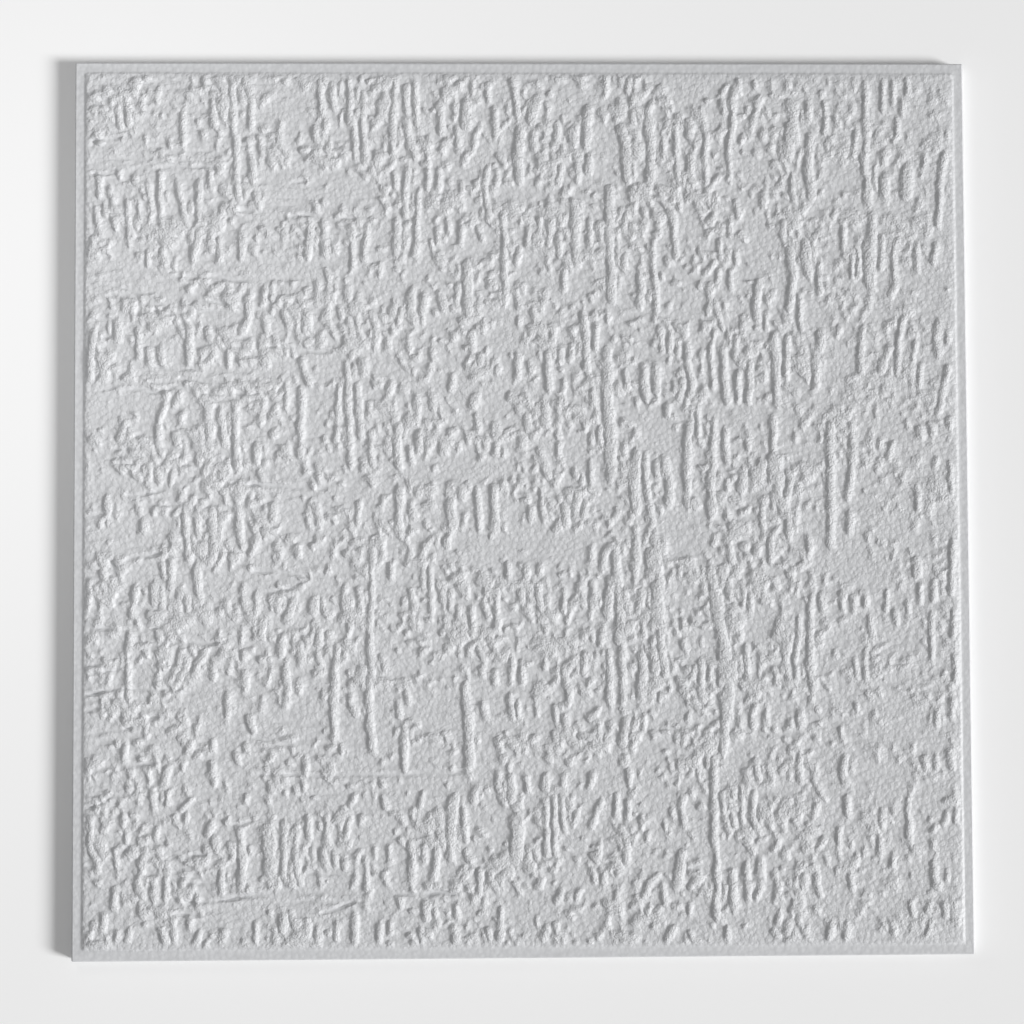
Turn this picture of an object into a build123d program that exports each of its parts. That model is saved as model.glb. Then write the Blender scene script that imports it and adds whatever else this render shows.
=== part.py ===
from build123d import *
import os

os.makedirs("parts", exist_ok=True)

# Square ceiling tile of expanded polystyrene foam, one piece, laid relief up.
# The origin is at the centre of the flat back.
# X and Y run along the edges, and most ridges run along Y.

# Driving dimensions, in millimetres
side = 500.0
margin_thickness = 8.0
margin_width = 5.5
field_rise = 0.8
ridge_rise = 1.2
corner_radius = 1.0
field_corner_radius = 2.0
edge_rounding = 0.5
flank_angle = 45

field_side = side - 2 * margin_width
field_level = margin_thickness + field_rise

# The main ridges of the relief.
# First the distance between the middles of the two flanks, then the line down the middle of the left flank.
ridges = [
    # Upper fifth of the field, from left to right
    (3.0, (-240, 168), (-236, 151)),
    (2.8, (-237, 187), (-238, 174)),
    (2.8, (-228, 224), (-226, 213)),
    (3.0, (-223, 229), (-221, 213)),
    (2.8, (-222, 171), (-220, 147)),
    (2.8, (-215, 171), (-215, 161)),
    (2.8, (-210, 181), (-209, 171)),
    (2.8, (-203, 190), (-204, 177), (-202, 157)),
    (2.8, (-193, 184), (-193, 176), (-188, 157)),
    (3.0, (-191, 222), (-190, 203)),
    (2.8, (-182, 183), (-182, 163)),
    (2.8, (-176, 190), (-176, 178)),
    (3.0, (-175, 228), (-173, 213)),
    (3.0, (-163, 240), (-163, 213)),
    (3.0, (-162, 187), (-160, 170)),
    (3.0, (-156, 240), (-153, 231), (-153, 211)),
    (3.0, (-154, 202), (-152, 183)),
    (3.0, (-148, 208), (-147, 197)),
    (3.0, (-136, 216), (-137, 205), (-131, 197)),
    (3.5, (-122, 161), (-120, 154), (-121, 141)),
    (3.0, (-115, 240), (-113, 221)),
    (4.0, (-113, 160), (-112, 141)),
    (3.0, (-108, 238), (-107, 223)),
    (3.0, (-98, 240), (-98, 215)),
    (3.0, (-97, 158), (-96, 135)),
    (3.0, (-90, 232), (-90, 212), (-89, 193)),
    (3.0, (-88, 158), (-90, 137)),
    (3.0, (-73, 188), (-72, 178)),
    (3.0, (-72, 238), (-74, 212), (-74, 198)),
    (4.0, (-72, 160), (-72, 141)),
    (3.0, (-66, 236), (-66, 222)),
    (3.0, (-66, 216), (-61, 195)),
    (3.0, (-65, 189), (-67, 178), (-67, 163)),
    (2.8, (-61, 238), (-60, 214)),
    (3.0, (-59, 178), (-61, 141)),
    (3.0, (-54, 190), (-54, 179)),
    (4.0, (-48, 226), (-47, 210)),
    (3.3, (-48, 188), (-48, 178)),
    (2.8, (-43, 163), (-42, 152)),
    (2.5, (-37, 213), (-37, 203)),
    (3.0, (-36, 160), (-36, 147)),
    (5.0, (-34, 228), (-33, 213)),
    (2.8, (-20, 190), (-22, 182), (-20, 160)),
    (3.5, (-17, 225), (-16, 208)),
    (3.0, (-12, 165), (-11, 116)),
    (3.0, (-6, 240), (-4, 228), (-3, 220)),
    (4.5, (-3, 212), (-4, 195), (-4, 182)),
    (2.5, (3, 158), (2, 146)),
    (4.0, (5, 210), (5, 200)),
    (5.0, (7, 231), (4, 221), (3, 217)),
    (2.6, (9, 162), (9, 152)),
    (2.7, (15, 163), (14, 147)),
    (3.5, (18, 215), (19, 204)),
    (2.6, (19, 155), (20, 140)),
    (3.0, (21, 192), (19, 182)),
    (4.5, (27, 214), (27, 204)),
    (3.0, (27, 172), (29, 160), (28, 146)),
    (2.5, (30, 193), (31, 182)),
    (4.0, (36, 224), (35, 216), (34, 202)),
    (2.7, (37, 162), (36, 147)),
    (2.7, (48, 175), (48, 119)),
    (4.5, (54, 213), (56, 200), (57, 183)),
    (2.7, (58, 166), (56, 157), (57, 152)),
    (3.5, (72, 228), (69, 214), (71, 198), (70, 182)),
    (2.5, (78, 208), (79, 195)),
    (3.2, (82, 168), (84, 156), (84, 138)),
    (2.6, (85, 215), (86, 196), (86, 183)),
    (4.5, (93, 197), (93, 188), (94, 181)),
    (3.0, (103, 209), (102, 197), (102, 181)),
    (2.5, (116, 161), (115, 151)),
    (2.7, (118, 224), (116, 205), (116, 183)),
    (3.0, (119, 172), (120, 161)),
    (3.5, (133, 231), (130, 221), (128, 212)),
    (5.0, (149, 215), (148, 196)),
    (3.0, (150, 188), (150, 178), (152, 171)),
    (4.0, (160, 228), (160, 216)),
    (4.5, (161, 210), (159, 190), (161, 174)),
    (2.7, (170, 228), (170, 209)),
    (2.7, (180, 156), (179, 144)),
    (3.0, (187, 211), (185, 196)),
    (4.0, (192, 203), (191, 189)),
    (3.3, (193, 239), (193, 210)),
    (3.0, (193, 184), (192, 172)),
    (2.3, (199, 192), (198, 184), (199, 177)),
    (4.0, (203, 184), (203, 171)),
    (2.5, (203, 240), (203, 223)),
    (2.5, (209, 240), (209, 226)),
    (3.0, (211, 218), (211, 209), (208, 204)),
    (7.0, (214, 190), (213, 175)),
    (3.3, (237, 198), (234, 178), (233, 156)),

    # Second fifth
    (3.0, (-240, 98), (-242, 84), (-242, 70)),
    (4.0, (-227, 104), (-227, 94)),
    (3.5, (-216, 99), (-216, 83)),
    (3.0, (-202, 145), (-200, 132)),
    (3.5, (-201, 58), (-204, 48), (-205, 38), (-203, 29)),
    (3.5, (-187, 101), (-188, 79)),
    (3.0, (-181, 157), (-183, 148), (-186, 138)),
    (4.0, (-177, 60), (-176, 33)),
    (3.5, (-176, 154), (-175, 143)),
    (2.8, (-170, 150), (-170, 138)),
    (3.0, (-170, 55), (-169, 42), (-167, 34)),
    (3.5, (-162, 56), (-161, 22)),
    (4.0, (-158, 153), (-159, 139)),
    (4.0, (-154, 119), (-154, 108), (-159, 98)),
    (3.5, (-146, 60), (-148, 46)),
    (3.0, (-145, 124), (-147, 112)),
    (3.0, (-145, 107), (-144, 96)),
    (3.0, (-140, 126), (-141, 115)),
    (3.0, (-133, 70), (-133, 54)),
    (4.0, (-125, 83), (-124, 76), (-120, 69)),
    (3.5, (-125, 66), (-126, 28)),
    (5.0, (-123, 110), (-123, 99)),
    (3.0, (-104, 68), (-105, 50)),
    (3.0, (-99, 80), (-98, 40), (-97, 22)),
    (3.0, (-93, 69), (-92, 38)),
    (4.0, (-86, 108), (-84, 99), (-85, 91)),
    (3.5, (-63, 122), (-64, 112), (-62, 104)),
    (3.0, (-38, 125), (-38, 114)),
    (5.0, (-34, 136), (-33, 122), (-33, 109)),
    (2.5, (-2, 146), (-4, 135)),
    (4.0, (10, 59), (11, 46)),
    (4.0, (12, 85), (12, 76), (13, 64)),
    (3.0, (19, 60), (19, 46)),
    (3.3, (20, 90), (20, 80)),
    (3.3, (33, 110), (34, 98), (34, 77)),
    (3.5, (38, 66), (38, 56)),
    (3.0, (40, 102), (40, 88)),
    (4.0, (46, 86), (47, 70), (46, 58), (48, 40), (48, 15)),
    (3.0, (56, 76), (57, 65)),
    (2.8, (57, 142), (56, 131)),
    (3.0, (64, 129), (66, 124), (64, 116), (66, 110)),
    (3.8, (66, 78), (67, 58)),
    (2.5, (73, 148), (73, 132), (74, 107)),
    (3.5, (73, 80), (73, 64)),
    (2.6, (76, 100), (77, 87)),
    (2.6, (82, 98), (81, 86)),
    (3.2, (92, 91), (91, 80), (93, 69), (92, 61)),
    (2.6, (97, 56), (97, 36)),
    (2.5, (107, 98), (105, 90), (105, 66)),
    (2.4, (107, 114), (110, 104), (111, 99)),
    (2.5, (109, 134), (109, 123)),
    (2.5, (110, 150), (110, 139)),
    (3.5, (111, 89), (111, 74), (113, 56)),
    (2.5, (116, 133), (116, 121)),
    (2.5, (119, 95), (118, 82)),
    (3.0, (119, 76), (119, 57)),
    (3.2, (126, 80), (125, 57)),
    (3.7, (131, 126), (129, 112), (130, 104)),
    (2.4, (136, 111), (135, 103), (136, 99)),
    (4.0, (140, 97), (139, 90), (141, 84), (140, 57)),
    (2.6, (147, 95), (147, 71)),
    (4.0, (149, 146), (149, 138), (151, 130), (148, 110)),
    (3.0, (155, 118), (155, 99)),
    (5.0, (157, 148), (158, 128)),
    (3.2, (163, 85), (163, 66)),
    (3.0, (166, 137), (165, 129), (166, 119)),
    (2.3, (184, 140), (184, 127)),
    (2.0, (188, 145), (188, 129)),
    (3.5, (189, 99), (188, 74)),
    (5.0, (192, 147), (192, 124)),
    (2.5, (201, 152), (201, 132)),
    (3.6, (205, 89), (201, 81), (200, 75)),
    (3.0, (210, 150), (208, 139), (209, 124), (206, 119)),
    (3.0, (212, 104), (210, 90), (209, 74)),
    (3.0, (219, 92), (218, 82)),
    (3.3, (221, 148), (221, 131)),
    (3.3, (222, 78), (221, 67)),
    (4.0, (232, 104), (231, 92), (233, 82)),
    (3.5, (232, 148), (230, 136)),
    (3.0, (238, 77), (236, 70), (234, 58), (231, 52)),

    # Middle fifth
    (3.0, (-232, 6), (-232, -4)),
    (3.0, (-222, 48), (-226, 42), (-226, 38)),
    (3.5, (-217, -44), (-219, -60)),
    (3.0, (-202, -45), (-202, -55)),
    (3.5, (-197, -29), (-197, -45)),
    (3.0, (-190, -1), (-189, -15), (-187, -30)),
    (3.5, (-183, -31), (-181, -54)),
    (3.0, (-183, -1), (-182, -17)),
    (4.0, (-175, -3), (-174, -24), (-177, -31)),
    (3.5, (-160, -1), (-160, -10), (-158, -23)),
    (3.5, (-150, 36), (-150, 25)),
    (4.0, (-150, -15), (-153, -26)),
    (3.0, (-93, 2), (-93, -10)),
    (3.0, (-86, 42), (-87, 30), (-85, 22)),
    (3.0, (-85, -22), (-86, -45), (-87, -75), (-86, -96)),
    (4.0, (-72, 46), (-72, 30), (-70, 22)),
    (4.5, (-71, 11), (-72, -4), (-71, -16)),
    (3.0, (-64, 33), (-63, 23)),
    (3.2, (-59, 42), (-59, 31)),
    (3.0, (-54, -33), (-53, -58)),
    (3.0, (-53, -17), (-57, -22), (-58, -27)),
    (4.5, (-43, 3), (-42, -12)),
    (3.5, (-42, -47), (-43, -59)),
    (3.5, (-28, 10), (-26, -14)),
    (4.0, (-18, 11), (-18, -13)),
    (3.2, (-17, -47), (-16, -68)),
    (3.5, (-10, -31), (-10, -41)),
    (4.5, (7, 31), (12, 17)),
    (3.0, (7, -45), (8, -58)),
    (3.0, (9, 11), (10, -9)),
    (2.8, (21, -46), (21, -60)),
    (4.0, (21, 2), (22, -10)),
    (3.5, (33, 4), (32, -7)),
    (3.0, (36, -23), (37, -29), (35, -33)),
    (3.0, (36, 25), (37, 12)),
    (3.0, (37, -43), (37, -57)),
    (3.0, (47, -21), (43, -27), (42, -36)),
    (4.0, (46, -40), (44, -62)),
    (3.2, (55, -46), (56, -58)),
    (4.5, (61, 30), (60, 14), (61, -4)),
    (3.5, (61, -11), (61, -42)),
    (3.0, (67, 29), (67, 10), (69, 0), (71, -9)),
    (5.0, (68, -27), (68, -40)),
    (4.0, (71, -45), (71, -58), (70, -68)),
    (3.0, (73, 25), (74, 15)),
    (4.0, (80, 17), (79, 1)),
    (3.3, (92, 46), (90, 30), (90, 8)),
    (4.5, (102, -36), (104, -46), (105, -60), (107, -74)),
    (3.0, (105, 48), (105, 22), (102, 9)),
    (3.0, (112, 42), (112, 23)),
    (3.5, (113, -42), (113, -54)),
    (4.0, (121, 21), (120, 7)),
    (2.3, (121, -46), (121, -57)),
    (3.0, (137, 28), (137, 13)),
    (3.0, (138, 8), (138, -3)),
    (4.0, (139, 47), (138, 34)),
    (3.0, (141, -12), (137, -19), (137, -32)),
    (2.5, (143, 28), (143, 10)),
    (3.5, (148, 15), (146, 2), (147, -19)),
    (3.0, (158, -18), (158, -29)),
    (4.0, (171, 46), (170, 36), (170, -22)),
    (3.3, (177, -48), (177, -59)),
    (3.0, (181, -4), (181, -15)),
    (3.7, (182, 46), (183, 36), (182, 18), (180, 4)),
    (3.0, (206, 36), (203, 25)),
    (3.0, (220, -44), (220, -56)),
    (2.6, (220, 12), (220, -3)),
    (2.8, (238, 24), (239, 6)),
    (3.5, (239, -20), (238, -35), (238, -51)),

    # Fourth fifth
    (3.0, (-219, -70), (-221, -80), (-220, -108)),
    (3.5, (-199, -144), (-202, -154)),
    (3.5, (-179, -79), (-183, -87), (-185, -94)),
    (3.5, (-166, -102), (-166, -116)),
    (3.5, (-135, -72), (-137, -82)),
    (3.5, (-134, -88), (-133, -100), (-134, -111)),
    (3.5, (-108, -100), (-107, -128)),
    (3.5, (-106, -77), (-107, -93)),
    (3.0, (-98, -103), (-97, -110), (-94, -115)),
    (3.5, (-88, -102), (-87, -116), (-86, -138)),
    (3.5, (-69, -122), (-68, -147)),
    (4.5, (-35, -100), (-33, -118), (-33, -145)),
    (3.0, (-30, -56), (-30, -72)),
    (2.8, (-9, -106), (-8, -120)),
    (2.8, (-8, -84), (-9, -100)),
    (2.3, (-3, -89), (-2, -99)),
    (3.5, (27, -84), (22, -90), (21, -96), (24, -103), (23, -111)),
    (3.3, (33, -82), (31, -88), (31, -93)),
    (3.0, (46, -80), (46, -112)),
    (2.5, (51, -62), (51, -76)),
    (3.3, (53, -80), (53, -109)),
    (4.0, (55, -117), (54, -124), (52, -133)),
    (4.0, (63, -82), (64, -90), (63, -108)),
    (3.5, (64, -47), (62, -59)),
    (4.0, (70, -80), (71, -92)),
    (3.0, (97, -87), (97, -101), (99, -109)),
    (2.6, (102, -87), (102, -97)),
    (3.0, (108, -80), (108, -99)),
    (4.0, (108, -104), (110, -114), (109, -138)),
    (2.3, (115, -87), (116, -99)),
    (3.2, (123, -79), (123, -97)),
    (3.0, (128, -111), (125, -116), (126, -122)),
    (3.0, (127, -141), (128, -153)),
    (3.0, (152, -61), (151, -78), (150, -98)),
    (3.5, (151, -141), (151, -155)),
    (3.5, (159, -51), (158, -62), (158, -92), (160, -103)),
    (4.0, (177, -139), (175, -148), (178, -155)),
    (2.3, (190, -81), (190, -97)),
    (3.5, (192, -62), (193, -76)),
    (3.0, (227, -60), (227, -87)),
    (3.5, (239, -58), (238, -74)),
    (2.5, (240, -84), (240, -98)),

    # Lower fifth
    (2.5, (-241, -171), (-241, -187), (-238, -195)),
    (2.5, (-226, -188), (-226, -204)),
    (3.5, (-211, -188), (-213, -196), (-215, -208), (-212, -216)),
    (3.0, (-206, -203), (-206, -218)),
    (3.0, (-200, -204), (-200, -216)),
    (3.0, (-168, -201), (-169, -214)),
    (4.0, (-159, -177), (-158, -195), (-159, -211)),
    (3.0, (-150, -229), (-150, -240)),
    (7.0, (-145, -178), (-145, -190), (-144, -202)),
    (3.0, (-134, -175), (-135, -205)),
    (3.0, (-127, -176), (-128, -190), (-126, -209)),
    (3.0, (-121, -171), (-121, -184)),
    (3.5, (-111, -170), (-111, -184)),
    (3.0, (-107, -190), (-107, -200)),
    (3.0, (-98, -172), (-101, -183)),
    (3.5, (-96, -225), (-96, -240)),
    (3.0, (-89, -194), (-89, -213)),
    (2.5, (-81, -229), (-82, -240)),
    (3.0, (-65, -186), (-64, -209)),
    (3.0, (-57, -186), (-58, -197)),
    (3.5, (-51, -188), (-51, -200), (-53, -208)),
    (4.5, (-41, -162), (-44, -176), (-44, -195)),
    (3.0, (-35, -167), (-34, -186)),
    (3.0, (-27, -155), (-30, -159), (-30, -164)),
    (3.5, (-26, -200), (-27, -214)),
    (3.0, (-20, -202), (-20, -209), (-17, -213)),
    (3.0, (-15, -223), (-15, -240)),
    (3.5, (-9, -150), (-9, -164)),
    (7.0, (-8, -173), (-7, -183), (-9, -196)),
    (2.8, (10, -163), (10, -194)),
    (2.8, (15, -162), (15, -192)),
    (2.8, (20, -161), (20, -181)),
    (3.0, (41, -164), (37, -171), (36, -178)),
    (3.0, (49, -160), (49, -173)),
    (3.0, (52, -178), (55, -183), (55, -198)),
    (2.8, (56, -163), (56, -174)),
    (3.0, (56, -147), (57, -157)),
    (3.0, (73, -205), (67, -210), (63, -217)),
    (3.0, (75, -210), (77, -221)),
    (4.0, (85, -192), (82, -211)),
    (2.8, (87, -161), (86, -170), (87, -178)),
    (4.0, (103, -141), (103, -180)),
    (3.5, (105, -191), (104, -229)),
    (2.6, (109, -160), (109, -170)),
    (3.5, (113, -202), (114, -225)),
    (2.5, (119, -158), (120, -176)),
    (3.3, (122, -199), (122, -219)),
    (3.0, (126, -160), (125, -172), (129, -183)),
    (3.0, (137, -182), (140, -187), (136, -192)),
    (3.0, (159, -153), (162, -159), (166, -163)),
    (3.3, (160, -205), (160, -212), (163, -218)),
    (3.3, (173, -179), (173, -189)),
    (3.5, (178, -162), (178, -172)),
    (3.0, (180, -203), (180, -213)),
    (2.6, (196, -184), (196, -195)),
    (3.5, (212, -164), (212, -184), (215, -193)),
    (3.5, (226, -200), (226, -209), (229, -213)),
]


def foot_outline(gap, start, end):
    """Outline of a straight stretch of ridge where it meets the field: parallel sides and a point at each end."""
    half_width = (gap + ridge_rise) / 2
    start = Vector(*start) + (gap / 2, 0)
    end = Vector(*end) + (gap / 2, 0)
    along = (end - start).normalized() * half_width
    across = along.rotate(Axis.Z, 90)
    corners = [start - along, start - across, end - across, end + along, end + across, start + across]
    return Polygon(*corners, align=None, mode=Mode.PRIVATE)


with BuildPart() as tile:
    with BuildSketch():
        RectangleRounded(side, side, corner_radius)
    extrude(amount=margin_thickness)
    fillet(tile.faces().sort_by(Axis.Z)[-1].edges(), edge_rounding)
    with BuildSketch(Plane.XY.offset(margin_thickness)):
        RectangleRounded(field_side, field_side, field_corner_radius)
    extrude(amount=field_rise, taper=flank_angle)
    # A ridge that bends is made of straight stretches, each fused with the one before it.
    most_stretches = max(len(flank_line) for gap, *flank_line in ridges) - 1
    for stretch in range(most_stretches):
        with BuildSketch(Plane.XY.offset(field_level)):
            for gap, *flank_line in ridges:
                if len(flank_line) > stretch + 1:
                    add(foot_outline(gap, flank_line[stretch], flank_line[stretch + 1]))
        extrude(amount=ridge_rise, taper=flank_angle)

tile.part.label = "tile"
export_step(tile.part, "parts/tile.step")
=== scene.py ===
import math

import bmesh
import bpy
import numpy as np
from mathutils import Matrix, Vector
from mathutils.bvhtree import BVHTree


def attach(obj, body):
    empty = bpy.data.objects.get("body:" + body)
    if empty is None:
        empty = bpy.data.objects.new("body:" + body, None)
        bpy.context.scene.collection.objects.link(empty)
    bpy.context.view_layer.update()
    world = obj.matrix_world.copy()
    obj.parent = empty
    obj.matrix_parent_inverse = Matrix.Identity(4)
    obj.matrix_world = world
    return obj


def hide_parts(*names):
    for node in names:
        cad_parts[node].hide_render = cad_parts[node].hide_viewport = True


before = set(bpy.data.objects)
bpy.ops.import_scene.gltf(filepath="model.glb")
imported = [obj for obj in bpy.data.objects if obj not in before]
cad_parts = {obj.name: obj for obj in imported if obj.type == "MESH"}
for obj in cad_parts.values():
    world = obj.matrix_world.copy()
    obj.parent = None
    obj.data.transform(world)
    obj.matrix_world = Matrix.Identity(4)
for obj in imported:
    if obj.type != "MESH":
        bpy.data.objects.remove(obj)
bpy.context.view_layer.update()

# The tile's sizes are in millimetres. The floor, the lamps and the camera are placed in metres.
MM = 0.001

# The tile's sizes, as the solid has them
HALF_SIDE = 250.0
TOP = 10.0
RIDGE_RISE = 1.2
FIELD_LEVEL = TOP - RIDGE_RISE
MARGIN_LEVEL = 8.0
MARGIN_WIDTH = 5.5
EDGE_ROUNDING = 0.5
CORNER_RADIUS = 1.0

# The sheet of cells that carries the relief, and about how many triangles thinning leaves of it
CELLS = 720
CELL = 2 * HALF_SIDE / CELLS
THINNED_TRIANGLES = 186000

# Thinning lifts a few corners by some hundredths, so the crests are held a little under the top.
CREST_TOP = TOP - 0.05

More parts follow.
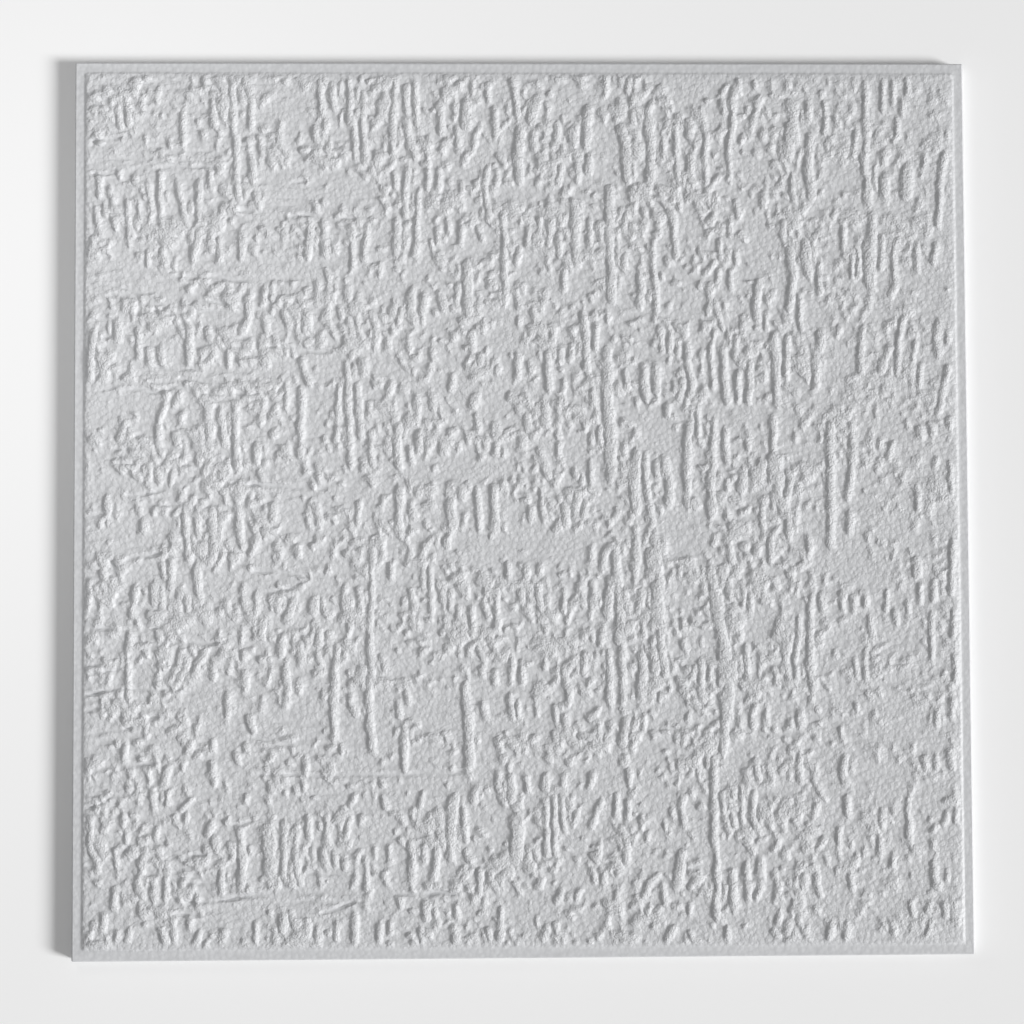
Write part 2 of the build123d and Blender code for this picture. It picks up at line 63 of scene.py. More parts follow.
# Short ridges between the solid's main ones.
# First the distance between the middles of the two flanks, then the line down the middle of the left flank.
SHORT_RIDGES = [
    # Upper fifth of the field, from left to right
    (2.8, (-208, 165), (-209, 156)),
    (3.0, (-151, 176), (-148, 168)),
    (3.0, (-117, 214), (-117, 206)),
    (3.0, (-48, 156), (-49, 148)),
    (4.0, (-43, 206), (-47, 200)),
    (2.5, (-28, 238), (-28, 231)),
    (3.0, (-26, 157), (-24, 150)),
    (2.5, (-20, 237), (-19, 229)),
    (3.0, (-15, 188), (-15, 182)),
    (3.0, (-14, 197), (-11, 192)),
    (4.5, (36, 197), (35, 189)),
    (2.7, (59, 240), (58, 234)),
    (2.7, (61, 222), (62, 215)),
    (3.0, (67, 168), (68, 162)),
    (5.0, (92, 215), (92, 209)),
    (3.5, (107, 165), (104, 158)),
    (2.7, (112, 228), (113, 220)),
    (2.7, (121, 240), (122, 233)),
    (2.7, (130, 240), (130, 236)),
    (3.0, (135, 176), (134, 170)),
    (3.0, (146, 160), (145, 151)),
    (4.0, (150, 228), (149, 222)),
    (2.8, (175, 166), (174, 161)),
    (2.5, (176, 220), (178, 214)),
    (3.5, (204, 200), (203, 193)),
    (3.3, (214, 228), (214, 222)),
    (2.5, (217, 240), (217, 232)),
    (3.0, (222, 171), (221, 165)),
    (4.0, (225, 197), (225, 190)),
    # Second fifth
    (3.5, (-210, 88), (-210, 80)),
    (3.0, (-210, 143), (-210, 136)),
    (3.0, (-203, 88), (-203, 80)),
    (3.5, (-192, 63), (-196, 56)),
    (3.5, (-177, 99), (-176, 93)),
    (4.0, (-174, 87), (-178, 81)),
    (3.0, (-165, 86), (-165, 80)),
    (4.0, (-135, 109), (-133, 103)),
    (3.0, (-111, 132), (-110, 126)),
    (3.0, (-103, 112), (-102, 106)),
    (3.0, (-98, 104), (-97, 98)),
    (4.5, (-92, 82), (-91, 75)),
    (3.0, (-87, 58), (-87, 51)),
    (3.0, (-75, 69), (-77, 61)),
    (3.0, (-69, 111), (-70, 102)),
    (4.0, (-61, 60), (-61, 55)),
    (4.0, (-57, 118), (-58, 109)),
    (3.5, (-53, 62), (-52, 56)),
    (3.0, (-52, 89), (-51, 82)),
    (4.0, (-48, 118), (-46, 109)),
    (4.0, (-31, 97), (-30, 88)),
    (4.5, (-28, 61), (-30, 56)),
    (3.0, (-25, 85), (-25, 79)),
    (3.0, (-22, 105), (-23, 98)),
    (3.5, (-15, 79), (-16, 74)),
    (3.0, (-5, 120), (-3, 113)),
    (3.7, (-4, 83), (-5, 74)),
    (3.0, (4, 111), (5, 102)),
    (2.7, (13, 139), (14, 132)),
    (3.0, (22, 131), (22, 123)),
    (3.0, (26, 90), (25, 81)),
    (3.5, (79, 56), (79, 51)),
    (2.6, (86, 93), (86, 86)),
    (3.0, (88, 69), (86, 60)),
    (3.0, (106, 138), (101, 131)),
    (2.8, (119, 143), (119, 137)),
    (5.0, (165, 96), (165, 89)),
    (4.0, (176, 100), (175, 95)),
    (2.6, (197, 56), (197, 48)),
    (2.5, (238, 98), (238, 90)),
    # Middle fifth
    (3.0, (-236, -41), (-234, -46)),
    (3.0, (-235, -34), (-234, -39)),
    (4.0, (-213, -8), (-213, -13)),
    (3.5, (-210, 24), (-210, 16)),
    (3.0, (-205, 20), (-203, 13)),
    (3.0, (-202, -31), (-201, -37)),
    (3.0, (-196, 21), (-197, 12)),
    (4.0, (-195, 40), (-194, 36)),
    (3.0, (-188, -49), (-189, -57)),
    (3.5, (-176, 24), (-179, 17)),
    (3.0, (-157, -51), (-156, -56)),
    (3.0, (-150, -50), (-150, -58)),
    (3.0, (-148, 20), (-146, 14)),
    (4.0, (-141, 1), (-141, -8)),
    (4.0, (-139, -22), (-137, -28)),
    (4.0, (-128, -22), (-127, -27)),
    (3.8, (-117, 1), (-116, -8)),
    (4.0, (-116, 19), (-115, 14)),
    (3.0, (-105, 44), (-106, 38)),
    (3.0, (-93, -46), (-92, -54)),
    (3.0, (-88, 17), (-85, 12)),
    (3.0, (-75, -31), (-75, -39)),
    (3.5, (-65, -48), (-63, -57)),
    (4.0, (-37, 10), (-37, 4)),
    (3.0, (-34, -5), (-36, -12)),
    (3.5, (-27, 48), (-27, 42)),
    (3.3, (-17, 35), (-17, 28)),
    (3.0, (-3, -48), (-3, -54)),
    (4.5, (-2, 38), (-3, 32)),
    (3.0, (0, -34), (0, -39)),
    (3.0, (1, 51), (1, 43)),
    (4.5, (2, -2), (2, -8)),
    (3.3, (8, -33), (7, -38)),
    (3.0, (19, 35), (19, 28)),
    (2.5, (31, 17), (31, 13)),
    (3.0, (37, 40), (37, 35)),
    (2.6, (42, 43), (42, 36)),
    (3.0, (55, 34), (56, 29)),
    (3.0, (71, -17), (71, -22)),
    (3.0, (77, -18), (77, -27)),
    (2.6, (86, -33), (85, -41)),
    (3.5, (103, 0), (103, -6)),
    (3.3, (112, -2), (113, -7)),
    (2.7, (113, 14), (113, 8)),
    (2.8, (113, -22), (115, -31)),
    (2.8, (124, 37), (124, 32)),
    (3.3, (125, -50), (125, -58)),
    (3.5, (129, -22), (129, -26)),
    (3.0, (132, -3), (132, -10)),
    (3.0, (199, 38), (199, 33)),
    (3.0, (202, -49), (201, -58)),
    (2.8, (211, 17), (211, 13)),
    (3.0, (214, 46), (215, 42)),
    (4.5, (218, -31), (218, -38)),
    (3.5, (221, 44), (222, 37)),
    (3.0, (228, -43), (228, -52)),
    (4.0, (227, 45), (228, 40)),
    (3.5, (230, 25), (229, 20)),
    (3.0, (238, 48), (238, 43)),
    # Fourth fifth
    (3.0, (-234, -84), (-232, -87)),
    (3.0, (-222, -131), (-222, -138)),
    (3.0, (-204, -69), (-203, -73)),
    (3.0, (-203, -92), (-204, -99)),
    (3.0, (-191, -93), (-196, -99)),
    (3.0, (-190, -140), (-190, -145)),
    (3.0, (-188, -84), (-189, -90)),
    (3.5, (-186, -130), (-188, -135)),
    (3.5, (-174, -90), (-174, -94)),
    (3.5, (-174, -128), (-174, -134)),
    (3.5, (-174, -143), (-173, -152)),
    (3.5, (-161, -135), (-160, -141)),
    (4.0, (-157, -80), (-157, -84)),
    (4.0, (-157, -91), (-156, -99)),
    (3.5, (-153, -116), (-152, -124)),
    (4.0, (-147, -63), (-147, -71)),
    (3.0, (-138, -52), (-138, -57)),
    (4.0, (-130, -52), (-133, -60)),
    (3.5, (-127, -77), (-125, -85)),
    (3.0, (-123, -140), (-123, -147)),
    (3.5, (-118, -52), (-118, -58)),
    (3.5, (-115, -68), (-116, -76)),
    (3.0, (-116, -82), (-114, -87)),
    (3.0, (-109, -142), (-108, -147)),
    (3.0, (-102, -132), (-102, -136)),
    (3.0, (-80, -84), (-79, -90)),
    (3.5, (-71, -109), (-71, -116)),
    (3.0, (-45, -63), (-45, -67)),
    (2.8, (-37, -57), (-38, -63)),
    (3.0, (-26, -80), (-23, -86)),
    (3.0, (-25, -90), (-25, -95)),
    (3.5, (-25, -110), (-23, -117)),
    (3.0, (-24, -52), (-21, -60)),
    (2.3, (-4, -110), (-4, -117)),
    (2.8, (16, -112), (16, -118)),
    (4.0, (21, -117), (21, -124)),
    (3.0, (40, -112), (35, -118)),
    (3.0, (42, -70), (41, -78)),
    (4.0, (58, -65), (56, -70)),
    (2.6, (65, -65), (66, -73)),
    (3.0, (65, -118), (65, -123)),
    (3.0, (87, -63), (87, -68)),
    (3.0, (87, -75), (89, -81)),
    (3.5, (118, -118), (118, -124)),
    (3.0, (134, -144), (135, -150)),
    (3.0, (138, -91), (139, -100)),
    (3.5, (142, -145), (141, -149)),
    (4.0, (152, -116), (152, -124)),
    (4.0, (165, -50), (165, -59)),
    (3.0, (174, -125), (176, -131)),
    (3.3, (183, -50), (183, -59)),
    (3.0, (184, -111), (185, -115)),
    (3.0, (183, -87), (185, -95)),
    (3.0, (189, -49), (190, -56)),
    (3.0, (206, -60), (207, -65)),
    (3.0, (213, -55), (213, -63)),
    (3.0, (222, -142), (222, -147)),
    (3.5, (228, -141), (228, -146)),
    (2.5, (229, -115), (229, -123)),
    (4.0, (235, -138), (236, -146)),
    (3.5, (238, -110), (237, -118)),
    # Lower fifth
    (3.0, (-233, -224), (-234, -231)),
    (3.0, (-228, -212), (-228, -219)),
    (3.0, (-225, -234), (-227, -238)),
    (3.0, (-223, -170), (-224, -175)),
    (3.0, (-221, -178), (-221, -185)),
    (3.5, (-207, -156), (-207, -160)),
    (3.0, (-204, -178), (-205, -182)),
    (3.0, (-202, -234), (-200, -239)),
    (3.0, (-199, -158), (-199, -165)),
    (3.0, (-195, -234), (-195, -240)),
    (3.5, (-187, -227), (-187, -231)),
    (3.0, (-186, -161), (-191, -167)),
    (3.5, (-183, -213), (-182, -221)),
    (3.5, (-181, -234), (-184, -239)),
    (3.5, (-175, -174), (-177, -180)),
    (3.5, (-173, -183), (-171, -190)),
    (4.0, (-168, -234), (-169, -240)),
    (4.0, (-135, -225), (-136, -234)),
    (3.0, (-124, -152), (-123, -157)),
    (3.5, (-122, -228), (-122, -235)),
    (2.5, (-118, -190), (-118, -198)),
    (3.5, (-116, -232), (-116, -237)),
    (3.0, (-115, -204), (-114, -209)),
    (3.0, (-113, -190), (-112, -199)),
    (3.0, (-105, -230), (-105, -239)),
    (3.5, (-101, -193), (-102, -199)),
    (3.0, (-95, -160), (-98, -166)),
    (3.0, (-95, -203), (-97, -209)),
    (3.0, (-80, -161), (-79, -165)),
    (3.0, (-79, -203), (-77, -209)),
    (3.0, (-76, -189), (-76, -196)),
    (3.0, (-76, -230), (-76, -236)),
    (3.0, (-58, -160), (-59, -167)),
    (4.0, (-57, -220), (-57, -227)),
    (3.0, (-51, -224), (-50, -230)),
    (4.0, (-41, -233), (-40, -240)),
    (2.5, (-39, -221), (-39, -227)),
    (3.0, (-35, -201), (-39, -208)),
    (3.0, (-22, -233), (-21, -240)),
    (3.0, (-16, -149), (-16, -157)),
    (3.0, (-7, -209), (-4, -214)),
    (3.0, (0, -150), (0, -157)),
    (3.0, (5, -191), (5, -197)),
    (3.0, (10, -234), (8, -239)),
    (4.0, (10, -150), (10, -157)),
    (3.0, (15, -231), (17, -237)),
    (3.0, (19, -213), (16, -219)),
    (3.5, (20, -149), (20, -156)),
    (2.6, (28, -170), (26, -177)),
    (3.0, (30, -212), (27, -218)),
    (3.0, (35, -201), (38, -207)),
    (3.0, (36, -149), (35, -156)),
    (3.0, (43, -203), (43, -210)),
    (4.0, (80, -234), (77, -240)),
    (2.3, (81, -169), (81, -174)),
    (3.0, (90, -219), (90, -224)),
    (3.5, (90, -235), (91, -240)),
    (4.0, (110, -236), (110, -240)),
    (3.0, (114, -173), (115, -178)),
    (2.6, (114, -157), (114, -162)),
    (3.5, (121, -186), (125, -193)),
    (3.0, (129, -213), (127, -218)),
    (4.0, (129, -197), (128, -205)),
    (3.5, (139, -226), (138, -232)),
    (4.0, (144, -233), (143, -238)),
    (3.0, (148, -174), (151, -179)),
    (3.6, (153, -206), (153, -212)),
    (3.0, (161, -167), (159, -173)),
    (3.0, (165, -185), (162, -192)),
    (3.8, (168, -232), (167, -240)),
    (3.5, (177, -232), (176, -240)),
    (2.8, (180, -186), (180, -191)),
    (2.5, (191, -184), (191, -190)),
    (2.6, (198, -170), (198, -179)),
    (3.4, (204, -195), (203, -200)),
    (3.0, (202, -233), (203, -238)),
    (2.8, (213, -221), (214, -228)),
    (3.0, (224, -221), (222, -226)),
    (3.0, (225, -232), (221, -239)),
    (3.0, (226, -188), (226, -193)),
    (3.0, (228, -178), (226, -182)),
    (2.5, (233, -203), (233, -210)),
    (3.0, (232, -222), (232, -229)),
    (3.0, (234, -171), (232, -179)),
    (2.6, (239, -170), (239, -177)),
    # Stretches that join or widen the solid's long ridges, where the photograph shows one long body
    (4.0, (118, 236), (117, 224)),
    (4.0, (151, 228), (151, 216), (153, 206)),
    (3.5, (192, 218), (192, 202)),
    (3.5, (193, 186), (194, 170)),
    (4.0, (195, 164), (195, 140), (195, 122)),
    (4.0, (71, 216), (71, 184)),
    (4.5, (47, 178), (47, 150), (48, 116)),
    (4.0, (27, 172), (28, 154), (29, 134)),
    (4.5, (46, 88), (45, 66), (46, 44), (47, 16)),
    (4.0, (138, 50), (138, 28)),
    (4.0, (139, 30), (141, 8), (143, -6)),
    (3.5, (103, 18), (104, -6)),
    (4.0, (72, -14), (73, -36), (74, -60), (75, -70)),
    (3.5, (75, -66), (76, -94)),
    (4.0, (49, -24), (50, -42), (51, -58), (53, -70)),
    (4.0, (53, -76), (54, -82)),
    (4.5, (106, -50), (107, -62), (109, -78), (111, -92), (112, -105), (111, -118)),
    (4.0, (103, -178), (104, -192)),
    (3.0, (-162, 212), (-161, 186)),
    (3.0, (-96, 218), (-94, 196)),
    (3.5, (-88, -94), (-88, -104)),
    (3.5, (-107, -92), (-107, -100)),
]

# Thin creases that run across the tile, most of them on its left
CREASES = [
    [(-243, 200), (-238, 206), (-220, 207)],
    [(-240, 187), (-219, 188), (-200, 194), (-165, 193)],
    [(-162, 182), (-122, 183)],
    [(-158, 168), (-140, 164), (-95, 162)],
    [(-219, 149), (-190, 147)],
    [(-235, 133), (-213, 134)],
    [(-196, 129), (-150, 128)],
    [(-230, 119), (-198, 115)],
    [(-176, 117), (-160, 113)],
    [(-172, 91), (-130, 89), (-108, 87)],
    [(-236, 77), (-182, 74)],
    [(-242, 64), (-226, 68), (-180, 70), (-152, 73)],
    [(-222, 65), (-180, 67)],
    [(-172, 60), (-146, 60)],
    [(-228, 25), (-190, 24)],
    [(-166, 12), (-110, 11)],
    [(-220, 7), (-200, 10)],
    [(-245, -13), (-230, -9)],
    [(-236, -26), (-222, -33)],
    [(-220, -28), (-200, -25)],
    [(-152, -49), (-128, -46)],
    [(-236, -68), (-200, -66)],
    [(-196, -74), (-164, -75)],
    [(-150, -35), (-120, -38)],
    [(-243, -112), (-220, -109), (-178, -112)],
    [(-226, -104), (-196, -106)],
    [(-226, -116), (-200, -116)],
    [(-242, -125), (-214, -122)],
    [(-235, -149), (-225, -143), (-204, -141)],
    [(-243, -157), (-230, -160), (-204, -155)],
    [(-245, -169), (-222, -168)],
    [(-160, -135), (-124, -131)],
    [(-155, -123), (-140, -129)],
    [(-132, -148), (-76, -149), (-34, -147)],
    [(-196, -193), (-168, -192)],
    [(-160, -176), (-150, -172), (-135, -171)],
    [(-236, -229), (-200, -228), (-158, -227)],
    [(-232, -222), (-200, -222), (-180, -219), (-150, -215)],
    [(-143, -222), (-130, -217), (-90, -218)],
    [(-120, -203), (-104, -203)],
    [(-112, -224), (-95, -219)],
    [(-76, -214), (-38, -214)],
    [(-38, -208), (-30, -199), (-4, -199)],
    [(-205, 190), (-180, 191), (-160, 192)],
    [(-215, 152), (-196, 151), (-185, 148)],
    [(-232, 128), (-212, 129)],
    [(-222, 122), (-206, 121)],
    [(-215, 110), (-200, 111)],
    [(-205, 79), (-180, 78)],
    [(-190, 72), (-160, 68), (-135, 70)],
    [(-180, 64), (-160, 63), (-140, 65)],
    [(-245, -4), (-232, -3)],
    [(-243, -92), (-226, -90)],
    [(-243, -103), (-220, -100), (-196, -101)],
    [(-243, -165), (-226, -164), (-210, -160)],
    [(-243, -197), (-232, -199)],
    [(-190, -219), (-160, -216), (-140, -213)],
    [(-228, -225), (-200, -225), (-180, -224)],
]

# Flat lands with little on them: centre, and reach across and along
QUIET_PATCHES = [
    (-110, 180, 40, 8), (-222, 128, 28, 10), (-150, 133, 45, 7), (-78, 83, 10, 9),
    (-165, 75, 45, 5), (-225, 62, 25, 8), (-232, 10, 20, 12), (-215, -15, 12, 10),
    (-128, 15, 8, 10), (-50, 20, 18, 6), (-20, 90, 22, 7), (5, 175, 10, 12),
    (22, 232, 14, 8), (-130, 222, 12, 10), (133, 145, 7, 10), (95, 115, 9, 9),
    (222, 120, 14, 12), (178, 85, 8, 12), (225, 25, 18, 8), (82, 35, 6, 8),
    (90, -15, 14, 12), (48, 2, 7, 6), (20, -20, 25, 6), (205, -5, 10, 14),
    (180, -35, 18, 5), (130, -65, 10, 12), (210, -75, 12, 10), (195, -125, 35, 9),
    (80, -110, 10, 10), (-60, -90, 14, 7), (-215, -98, 18, 9), (-125, -115, 8, 8),
    (75, -165, 8, 10), (-20, -170, 8, 8), (145, -190, 10, 8), (-225, -225, 18, 7),
    (-80, -147, 25, 5),
]

# One seed for all the noise, so that each run presses the same tile
rng = np.random.default_rng(25)


def linear(hex_colour):
    """The linear RGBA of an sRGB hex colour, by the formula of the sRGB standard."""
    parts = [int(hex_colour[i:i + 2], 16) / 255 for i in (1, 3, 5)]
    return [c / 12.92 if c <= 0.04045 else ((c + 0.055) / 1.055) ** 2.4 for c in parts] + [1.0]


def smoothstep(low, high, values):
    """0 below low, 1 above high, and an even S between them. With the limits swapped it falls instead."""
    t = np.clip((values - low) / (high - low), 0, 1)
    return t * t * (3 - 2 * t)


def blurred(field, across, along=None):
    """The field with a Gaussian blur of those spreads, in mm, along X and along Y."""
    along = across if along is None else along
    waves_x = np.fft.rfftfreq(field.shape[1], CELL)
    waves_y = np.fft.fftfreq(field.shape[0], CELL)[:, None]
    fade = np.exp(-2 * math.pi ** 2 * ((across * waves_x) ** 2 + (along * waves_y) ** 2))
    return np.fft.irfft2(np.fft.rfft2(field) * fade, s=field.shape)


def lumps(across, along=None):
    """Seeded smooth noise with lumps of those sizes, in mm, a mean of 0 and a spread of 1."""
    noise = blurred(rng.standard_normal((CELLS + 1, CELLS + 1)), across, along)
    return (noise - noise.mean()) / noise.std()


def drawn_left(field, distance):
    """The field moved towards -X by a distance in mm."""
    waves = np.fft.rfftfreq(field.shape[1], CELL)
    turned = np.fft.rfft(field, axis=1) * np.exp(2j * math.pi * waves * distance)
    return np.fft.irfft(turned, n=field.shape[1], axis=1)


# Places of the cells' corners, rows along Y and columns along X
line = np.linspace(-HALF_SIDE, HALF_SIDE, CELLS + 1)
grid_x, grid_y = np.meshgrid(line, line)


def solid_height(x, y):
    """Height of the solid tile's top, straight above each of those points."""
    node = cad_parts["tile"]
    tree = BVHTree.FromObject(node, bpy.context.evaluated_depsgraph_get())
    down = Vector((0, 0, -1))
    start = 2 * TOP * MM
    heights = np.empty(x.size)
    for i, (px, py) in enumerate(zip((x * MM).ravel().tolist(), (y * MM).ravel().tolist())):
        hit = tree.ray_cast(Vector((px, py, start)), down)[0]
        heights[i] = MARGIN_LEVEL if hit is None else hit.z / MM
    return heights.reshape(x.shape)


def distance_from(points, reach, x, y):
    """The part of the grid within reach of a line through those points,
    and how far each of its corners lies from that line."""
    (left, right), (low, high) = [(min(side) - reach, max(side) + reach) for side in zip(*points)]
    window = slice(*np.searchsorted(line, (low, high))), slice(*np.searchsorted(line, (left, right)))
    near_x, near_y = x[window], y[window]
    distance = np.full(near_x.shape, np.inf)
    for (ax, ay), (bx, by) in zip(points, points[1:]):
        along = (near_x - ax) * (bx - ax) + (near_y - ay) * (by - ay)
        share = np.clip(along / ((bx - ax) ** 2 + (by - ay) ** 2), 0, 1)
        away = np.hypot(near_x - ax - share * (bx - ax), near_y - ay - share * (by - ay))
        distance = np.minimum(distance, away)
    return window, distance


def short_ridges(x, y):
    """Heights of the short ridges over the field, each with rounded ends and even flanks."""
    heights = np.zeros(x.shape)
    room_to_waver = 3.0
    for gap, *flank_line in SHORT_RIDGES:
        foot = (gap + RIDGE_RISE) / 2
        middle_line = [(px + gap / 2, py) for px, py in flank_line]
        window, distance = distance_from(middle_line, foot + room_to_waver, x, y)
        heights[window] = np.maximum(heights[window], np.clip(foot - distance, 0, RIDGE_RISE))
    return heights


def creased(x, y):
    """Change of height at the creases, in mm: a groove with a low lip along both of its sides."""
    heights = np.zeros(x.shape)
    groove_depth, groove_half_width = 0.9, 1.2
    lip_rise, lip_away, lip_half_width = 0.5, 2.1, 1.3
    room_to_waver = 2.0
    for points in CREASES:
        window, distance = distance_from(points, lip_away + lip_half_width + room_to_waver, x, y)
        groove = np.clip(1 - distance / groove_half_width, 0, 1)
        lip = np.clip(1 - abs(distance - lip_away) / lip_half_width, 0, 1)
        heights[window] = np.maximum(heights[window], lip_rise * lip)
        sunk = np.minimum(heights[window], 0) - groove_depth * groove
        heights[window] = np.where(groove > 0, sunk, heights[window])
    return heights


def quiet_land():
    """1 on the flat lands of the relief and 0 away from them."""
    quiet = np.zeros(grid_x.shape)
    # Each patch fades out from half of its widened reach to the whole of it.
    widening, fade_start, fade_end = 1.3, 0.5, 1.0
    for x, y, across, along in QUIET_PATCHES:
        away = np.hypot((grid_x - x) / (widening * across), (grid_y - y) / (widening * along))
        quiet = np.maximum(quiet, smoothstep(fade_end, fade_start, away))
    return quiet


def dome(values, foot, reach):
    """Rounded mounds where the values pass the foot level."""
    rise = np.clip((values - foot) / reach, 0, 1)
    return rise * (2 - rise)


def wavering(inside):
    """The grid's places, moved a little.
    Ridges drawn there waver off their straight lines, as they do in pressed foam."""
    across_slow, across_quick, along = 0.3, 0.3, 0.7
    x = grid_x + inside * (across_slow * lumps(2.5, 4.0) + across_quick * lumps(1.2, 1.4))
    y = grid_y + inside * along * lumps(2.5)
    return x, y


def small_ridges(cover):
    """Seeded small upright ridges and pimples, from 0 to 1 high.
    They crowd round the larger ridges, which cover says, and leave the quiet lands bare."""
    crowding, crowd_reach, sparseness, bareness = 1.5, 6.0, 0.3, 2.2
    busy = lumps(7.0, 5.0) + crowding * blurred(cover, crowd_reach) - sparseness - bareness * quiet_land()
    ridge_push, ridge_foot, ridge_share = 0.5, 0.65, 0.9
    pimple_push, pimple_foot = 0.6, 0.6
    reach = 1.3
    upright = dome(lumps(1.25, 2.1) + ridge_push * busy, ridge_foot, reach)
    pimples = dome(lumps(1.15, 1.1) + pimple_push * busy, pimple_foot, reach)
    return np.maximum(ridge_share * upright, pimples)


def leaning(raised):
    """Ridges that stand steep on their left, are highest there and fall away gently to the right,
    with knobs on them."""
    # The gentle side follows the ridge's body, full from this height, moved to the left and spread.
    full_body, move_left, spread = 0.6, 1.1, 0.95
    body = blurred(drawn_left(np.minimum(raised / full_body, 1.0), move_left), spread)
    knob_size, lowest_knob, highest_knob = 0.2, 0.5, 1.4
    knobs = np.clip(1.0 + knob_size * lumps(1.2, 1.3), lowest_knob, highest_knob)
    steepening, body_rise = 1.3, 1.65
    sharp = np.minimum(steepening * raised, body_rise * body) * knobs
    sharp_share, sharp_blur = 0.8, 0.45
    soft_share, soft_blur = 0.2, 0.8
    return sharp_share * blurred(sharp, sharp_blur) + soft_share * blurred(raised, soft_blur)


def long_creases():
    """The creases across the tile, wavering and of uneven depth."""
    usual_depth, unevenness, least_depth, most_depth = 0.75, 0.5, 0.1, 1.4
    depth = np.clip(usual_depth + unevenness * lumps(4.0, 2.0), least_depth, most_depth)
    across, along, softness = 0.5, 0.6, 0.5
    x = grid_x + across * lumps(3.0)
    y = grid_y + along * lumps(3.0, 2.0)
    return depth * blurred(creased(x, y), softness)


def relief():
    """Heights of the tile's top: the solid's main ridges softened, and the finer relief between them."""
    outward = np.maximum(abs(grid_x), abs(grid_y))
    inward = HALF_SIDE - MARGIN_WIDTH - outward
    # The finer relief fades in from the field's outline.
    fine_from, fine_full = 1.0, 4.0
    inside = smoothstep(fine_from, fine_full, inward)

    x, y = wavering(inside)
    solid = solid_height(x, y)
    flank_blur = 0.4
    base = blurred(np.minimum(solid, FIELD_LEVEL), flank_blur)
    main = np.maximum(solid - FIELD_LEVEL, 0)
    short_share = 0.9
    ridges = np.maximum(main, short_share * inside * short_ridges(x, y))

    # Between the ridges, and clear of their feet, the land is free for smaller ones.
    foot_height, foot_blur, clearing = 0.1, 1.0, 2.0
    cover = blurred((ridges > foot_height).astype(float), foot_blur)
    free = np.clip(1.0 - clearing * cover, 0, 1)
    small_rise, calming, calm_from, calm_to = 0.95, 0.3, 110.0, 205.0
    calmer_right = 1.0 - calming * smoothstep(calm_from, calm_to, grid_x)
    fine = small_rise * calmer_right * inside * free * small_ridges(cover)

    # All ridges stand a little lower in the right part.
    full_rise, right_loss, lower_from, lower_to = 1.08, 0.2, 120.0, 200.0
    crests = leaning(np.maximum(ridges, fine))
    crests = crests * (full_rise - right_loss * smoothstep(lower_from, lower_to, grid_x))

    # Long and faint creases across, and a gentle swell of the land, with more of each on the left
    creases = long_creases()
    left_from, left_to = -60.0, -170.0
    left_part = smoothstep(left_from, left_to, grid_x)
    faint_depth, faint_foot, faint_full = 0.45, 1.3, 2.4
    all_over, more_on_left = 0.25, 0.75
    share = all_over + more_on_left * left_part
    faint = smoothstep(faint_foot, faint_full, lumps(6.0, 0.8)) * share * free
    swell_rise, ripple_rise, ripple_left = 0.05, 0.06, 0.03
    swell = swell_rise * lumps(3.0) + (ripple_rise + ripple_left * left_part) * lumps(1.1, 0.9)
    height = base + crests + inside * (swell + creases - faint_depth * faint)

    # The margin is the solid's own, and the outermost row lies at the foot of the edge's rounding.
    plain_margin = 2.0
    height = np.where(inward < -plain_margin, solid, height)
    edge = HALF_SIDE - outward
    height = np.where(edge < 0.5 * CELL, MARGIN_LEVEL - EDGE_ROUNDING, height)
    return np.minimum(height, CREST_TOP)


def new_object(name, bm):
    """An object in the scene with that bmesh, at the origin."""
    mesh = bpy.data.meshes.new(name)
    bm.to_mesh(mesh)
    bm.free()
    made = bpy.data.objects.new(name, mesh)
    bpy.context.scene.collection.objects.link(made)
    return made


def round_corners(x, y):
    """Draws the four corners of the square in to their radius."""
    centre = HALF_SIDE - CORNER_RADIUS
    over_x = np.maximum(abs(x) - centre, 0)
    over_y = np.maximum(abs(y) - centre, 0)
    reach = np.hypot(over_x, over_y)
    beyond = (over_x > 0) & (over_y > 0) & (reach > CORNER_RADIUS)
    never_zero = 1e-9
    pull = np.where(beyond, CORNER_RADIUS / np.maximum(reach, never_zero), 1)
    near_x = np.sign(x) * (np.minimum(abs(x), centre) + over_x * pull)
    near_y = np.sign(y) * (np.minimum(abs(y), centre) + over_y * pull)
    return near_x, near_y


def unfold(bm):
    """Evens out the corners of the tiny faces that thinning has folded over, until each face looks up."""
    steepest, most_rounds = 0.02, 60
    for _ in range(most_rounds):
        folded = [
            corner for corner in bm.verts
            if not corner.is_boundary and any(face.normal.z < steepest for face in corner.link_faces)
        ]
        if not folded:
            break
        bmesh.ops.smooth_vert(
            bm, verts=folded, factor=0.5, use_axis_x=True, use_axis_y=True, use_axis_z=True
        )
        bm.normal_update()


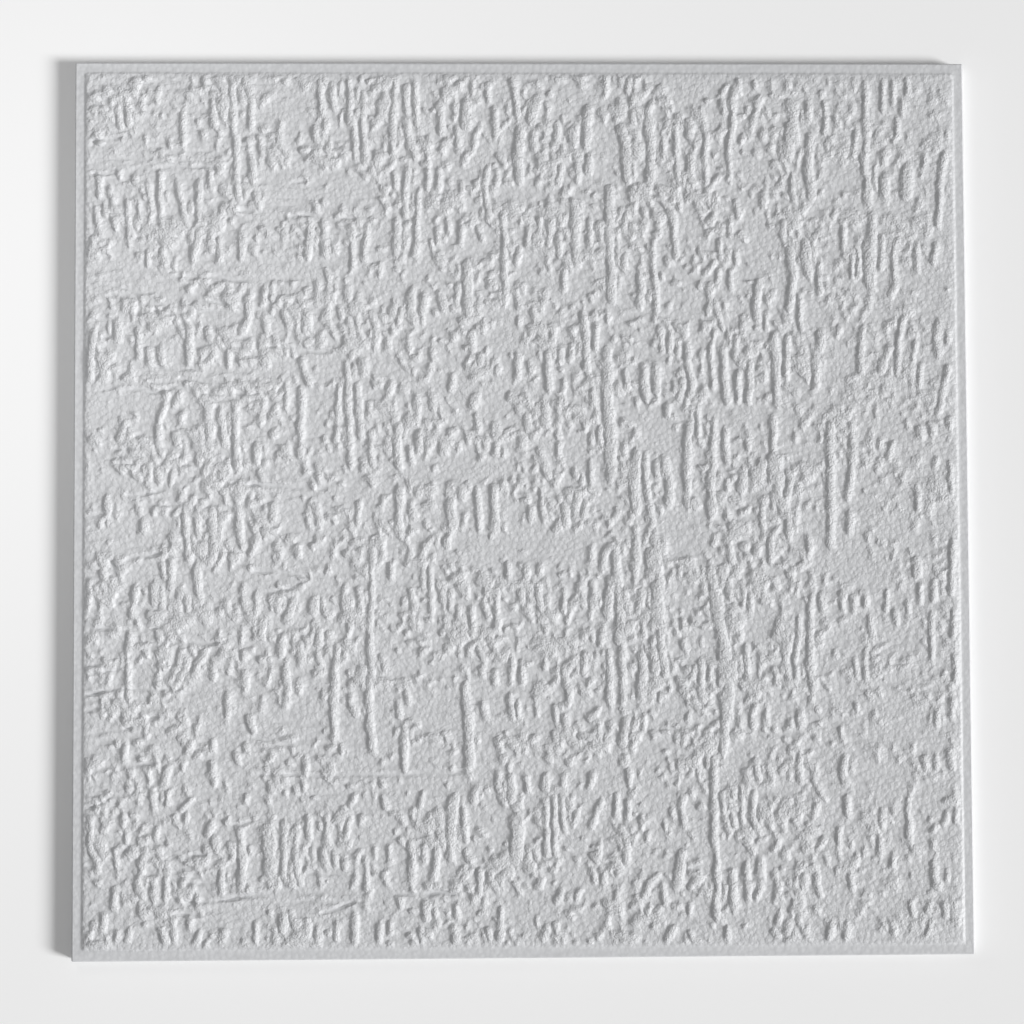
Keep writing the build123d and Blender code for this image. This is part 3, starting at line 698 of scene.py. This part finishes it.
def foam_tile():
    """The tile as one closed skin: the relief on top, square edges and a flat back."""
    bm = bmesh.new()
    bmesh.ops.create_grid(bm, x_segments=CELLS, y_segments=CELLS, size=HALF_SIDE * MM)
    tile = new_object("foam_tile", bm)
    places = np.empty(len(tile.data.vertices) * 3)
    tile.data.vertices.foreach_get("co", places)
    places = places.reshape(-1, 3) / MM
    column = np.rint((places[:, 0] + HALF_SIDE) / CELL).astype(int)
    row = np.rint((places[:, 1] + HALF_SIDE) / CELL).astype(int)
    places[:, 2] = relief()[row, column]
    places[:, 0], places[:, 1] = round_corners(places[:, 0], places[:, 1])
    tile.data.vertices.foreach_set("co", (places * MM).ravel())

    thin = tile.modifiers.new("thin_out", "DECIMATE")
    thin.ratio = THINNED_TRIANGLES / (2 * CELLS * CELLS)
    bpy.context.view_layer.update()
    thinned = bpy.data.meshes.new_from_object(tile.evaluated_get(bpy.context.evaluated_depsgraph_get()))
    tile.modifiers.clear()
    tile.data = thinned

    bm = bmesh.new()
    bm.from_mesh(thinned)
    unfold(bm)
    rim = [edge for edge in bm.edges if edge.is_boundary]
    walls = bmesh.ops.extrude_edge_only(bm, edges=rim)
    for part in walls["geom"]:
        if isinstance(part, bmesh.types.BMVert):
            part.co.z = 0
    bottom = [edge for edge in bm.edges if edge.is_boundary]
    bmesh.ops.contextual_create(bm, geom=bottom)
    bmesh.ops.recalc_face_normals(bm, faces=bm.faces)
    for face in bm.faces:
        face.smooth = True

    # Crisp bends at the rim keep the margin shaded as the flat land that it is.
    rim_start = (HALF_SIDE - 2 * CELL) * MM
    crisp_at_rim, crisp_elsewhere = 15, 60
    for edge in bm.edges:
        at_rim = all(max(abs(corner.co.x), abs(corner.co.y)) > rim_start for corner in edge.verts)
        edge.smooth = edge.calc_face_angle(0) < math.radians(crisp_at_rim if at_rim else crisp_elsewhere)
    bm.to_mesh(thinned)
    bm.free()
    return tile


def moulded_foam():
    """Expanded polystyrene, steamed in a mould: a matte white skin,
    with the flattened beads showing as fine pebbling."""
    material = bpy.data.materials.new("moulded_polystyrene_foam")
    material.use_nodes = True
    tree = material.node_tree
    shader = tree.nodes["Principled BSDF"]

    def add(kind, settings=(), links=()):
        node = tree.nodes.new(kind)
        for name, value in dict(settings).items():
            if hasattr(node, name):
                setattr(node, name, value)
            else:
                node.inputs[name].default_value = value
        for name, output in dict(links).items():
            tree.links.new(output, node.inputs[name])
        return node

    shader.inputs["Roughness"].default_value = 0.52
    shader.inputs["IOR"].default_value = 1.5
    place = add("ShaderNodeTexCoord").outputs["Object"]
    level = add("ShaderNodeSeparateXYZ", links={"Vector": place}).outputs["Z"]

    # Beads about 2.7 mm across after foaming, pressed flat against each other
    bead_size = 2.7 * MM
    beads = add(
        "ShaderNodeTexVoronoi",
        {"feature": "SMOOTH_F1", "Scale": 1 / bead_size, "Smoothness": 0.15},
        {"Vector": place},
    )
    # The margin is pressed smoother than the field.
    pressing = add(
        "ShaderNodeMapRange",
        {
            "From Min": MARGIN_LEVEL * MM,
            "From Max": FIELD_LEVEL * MM,
            "To Min": 0.4,
            "To Max": 1.0,
        },
        {"Value": level},
    ).outputs["Result"]
    pebbling = add(
        "ShaderNodeBump",
        {"Distance": 0.4 * MM, "invert": True},
        {"Height": beads.outputs["Distance"], "Strength": pressing},
    )

    # Wrinkles of the skin, 1.1 mm, weak on the flat land and coarse on the crests
    wrinkle_size = 1.1 * MM
    crest_height = 0.7
    wrinkles = add("ShaderNodeTexNoise", {"Scale": 1 / wrinkle_size, "Detail": 2.0}, {"Vector": place})
    coarseness = add(
        "ShaderNodeMapRange",
        {
            "From Min": FIELD_LEVEL * MM,
            "From Max": (FIELD_LEVEL + crest_height) * MM,
            "To Min": 0.4,
            "To Max": 1.1,
        },
        {"Value": level},
    ).outputs["Result"]
    grain = add(
        "ShaderNodeMath",
        {"operation": "MULTIPLY"},
        {0: wrinkles.outputs["Fac"], 1: coarseness},
    )
    skin = add(
        "ShaderNodeBump",
        {"Distance": 0.65 * MM},
        {"Height": grain.outputs["Value"], "Normal": pebbling.outputs["Normal"], "Strength": pressing},
    )
    tree.links.new(skin.outputs["Normal"], shader.inputs["Normal"])

    # The skin is painted a little greyer where the beads meet: painted shade in the fine grooves between
    # the beads.
    painted_groove_shade = add("ShaderNodeValToRGB", links={"Fac": beads.outputs["Distance"]})
    painted_groove_shade.color_ramp.elements[0].color = linear("#D2D3D5")
    painted_groove_shade.color_ramp.elements[1].color = linear("#C6C7C9")
    tree.links.new(painted_groove_shade.outputs["Color"], shader.inputs["Base Color"])
    return material


def pale_floor():
    """A matte pale floor that the tile lies on."""
    bm = bmesh.new()
    floor_half = 4.0
    bmesh.ops.create_grid(bm, x_segments=1, y_segments=1, size=floor_half)
    floor = new_object("floor", bm)
    material = bpy.data.materials.new("matte_floor_paint")
    material.use_nodes = True
    shader = material.node_tree.nodes["Principled BSDF"]
    shader.inputs["Base Color"].default_value = linear("#F4F4F4")
    shader.inputs["Roughness"].default_value = 0.9
    floor.data.materials.append(material)


def lamp_holder(name, lamp, azimuth, elevation, distance):
    """Hangs a lamp that far from the tile's middle, in metres, and aims it there.
    Azimuth is measured from +X towards +Y, in degrees."""
    rise = math.radians(elevation)
    turn = math.radians(azimuth)
    away = Vector((math.cos(rise) * math.cos(turn), math.cos(rise) * math.sin(turn), math.sin(rise)))
    holder = bpy.data.objects.new(name, lamp)
    holder.location = away * distance
    holder.rotation_euler = away.to_track_quat("Z", "Y").to_euler()
    bpy.context.scene.collection.objects.link(holder)


def studio_light():
    """A soft key far off to the right that grazes the relief, a weak fill over the left side
    and an even sky. Each share is the part of a white sheet's light that comes from there."""
    key_share, key_elevation, key_softness = 0.56, 27, 18
    key = bpy.data.lights.new("key", "SUN")
    key.angle = math.radians(key_softness)
    key.energy = key_share * math.pi / math.sin(math.radians(key_elevation))
    lamp_holder("key", key, azimuth=-18, elevation=key_elevation, distance=3.0)

    fill_share, fill_elevation, fill_distance = 0.08, 45, 0.55
    fill = bpy.data.lights.new("fill", "AREA")
    fill.shape = "SQUARE"
    fill.size = 0.2
    fill.energy = fill_share * (math.pi * fill_distance) ** 2 / math.sin(math.radians(fill_elevation))
    lamp_holder("fill", fill, azimuth=155, elevation=fill_elevation, distance=fill_distance)

    sky_share = 0.29
    world = bpy.data.worlds.new("even_sky")
    world.use_nodes = True
    sky = world.node_tree.nodes["Background"]
    sky.inputs["Color"].default_value = linear("#FFFFFF")
    sky.inputs["Strength"].default_value = sky_share
    bpy.context.scene.world = world


def camera():
    """The photograph's camera, nearly straight above the tile.
    Its place and turn are worked out from where the tile's four corners show."""
    lens = bpy.data.cameras.new("camera")
    lens.sensor_width = 36.0
    lens.lens = 72.0
    holder = bpy.data.objects.new("camera", lens)
    holder.location = (-0.0322, -0.0517, 1.1495)
    holder.rotation_euler = (0.0427, -0.0225, -0.0046)
    bpy.context.scene.collection.objects.link(holder)
    bpy.context.scene.camera = holder


tile = foam_tile()
tile.data.materials.append(moulded_foam())
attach(tile, "root")
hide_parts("tile")

pale_floor()
studio_light()
camera()
bpy.context.scene.view_settings.view_transform = "Standard"
